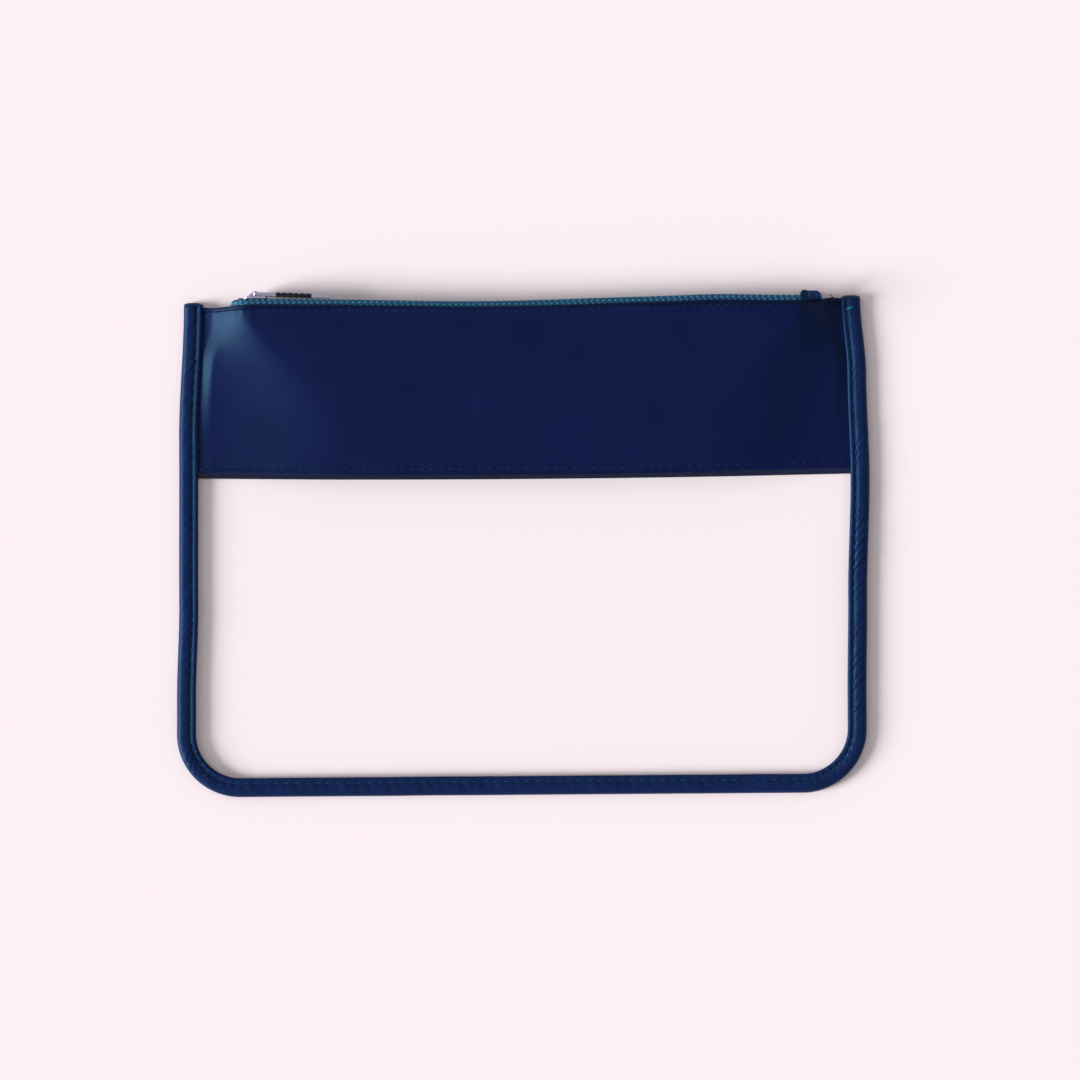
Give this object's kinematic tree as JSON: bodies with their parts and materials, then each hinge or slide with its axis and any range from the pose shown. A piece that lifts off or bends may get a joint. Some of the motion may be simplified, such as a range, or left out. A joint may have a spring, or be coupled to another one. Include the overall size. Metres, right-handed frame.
{
  "type": "zip deposit pouch",
  "caption": "Flat zip pouch for cash and slips: clear window panels, a navy fabric band along the mouth, bound edges, and a coil zip with a sliding pull.",
  "frame": {"origin": "centre of the pouch's footprint, on the surface that it lies on", "axes": "+X to the right along the zip, +Y from the bottom edge towards the zip, +Z out of the front face"},
  "size_m": [0.25, 0.1816, 0.0103],
  "materials": {
    "band_fabric": "satin twill nylon, navy",
    "binding_fabric": "satin bias-cut nylon binding, navy",
    "zip_tape": "woven zip tape, navy with a teal sheen",
    "zip_coil": "satin moulded nylon monofilament, navy",
    "thread": "sewing thread, navy",
    "clear_sheet": "clear flexible vinyl sheet",
    "nickel": "nickel-plated die casting",
    "dark_metal": "dark enamelled metal"
  },
  "bodies": {
    "bag": {"edge_binding": "binding_fabric", "back_band": "band_fabric", "back_window": "clear_sheet", "front_window": "clear_sheet", "front_band_margins": "band_fabric", "back_zip_tape": "zip_tape", "back_zip_coil": "zip_coil", "back_coil_core": "thread", "back_top_stop": "dark_metal", "bottom_stop": "dark_metal", "zip_end_tab": "binding_fabric", "back_top_thread": "thread", "back_hem_thread": "thread", "binding_thread": "thread"},
    "mouth_front": {"front_band": "band_fabric", "front_zip_tape": "zip_tape", "front_zip_coil": "zip_coil", "front_coil_core": "thread", "front_top_stop": "dark_metal", "front_top_thread": "thread", "front_hem_thread": "thread"},
    "slider": {"slider_body": "nickel", "slider_crown": "nickel"},
    "pull": {"pull_tab": "nickel"}
  },
  "joints": [
    {"name": "slider_slide", "type": "slide", "parent": "bag", "child": "slider", "axis": [1, 0, 0], "range_m": [0, 0.19]},
    {"name": "pull_swing", "type": "hinge", "parent": "slider", "child": "pull", "pos_m": [-0.095, 0.0897, 0.00525], "axis": [0, 0, 1], "range_deg": [0, 175]},
    {"name": "mouth_lift", "type": "hinge", "parent": "bag", "child": "mouth_front", "pos_m": [0, 0.0232, 0.0069], "axis": [1, 0, 0], "range_deg": [0, 22], "deforming": ["front_zip_tape", "front_zip_coil", "front_coil_core"]}
  ],
  "couplings": [
    {"joint": "mouth_lift", "follows": "slider_slide", "rad_per_m": 2.02}
  ]
}
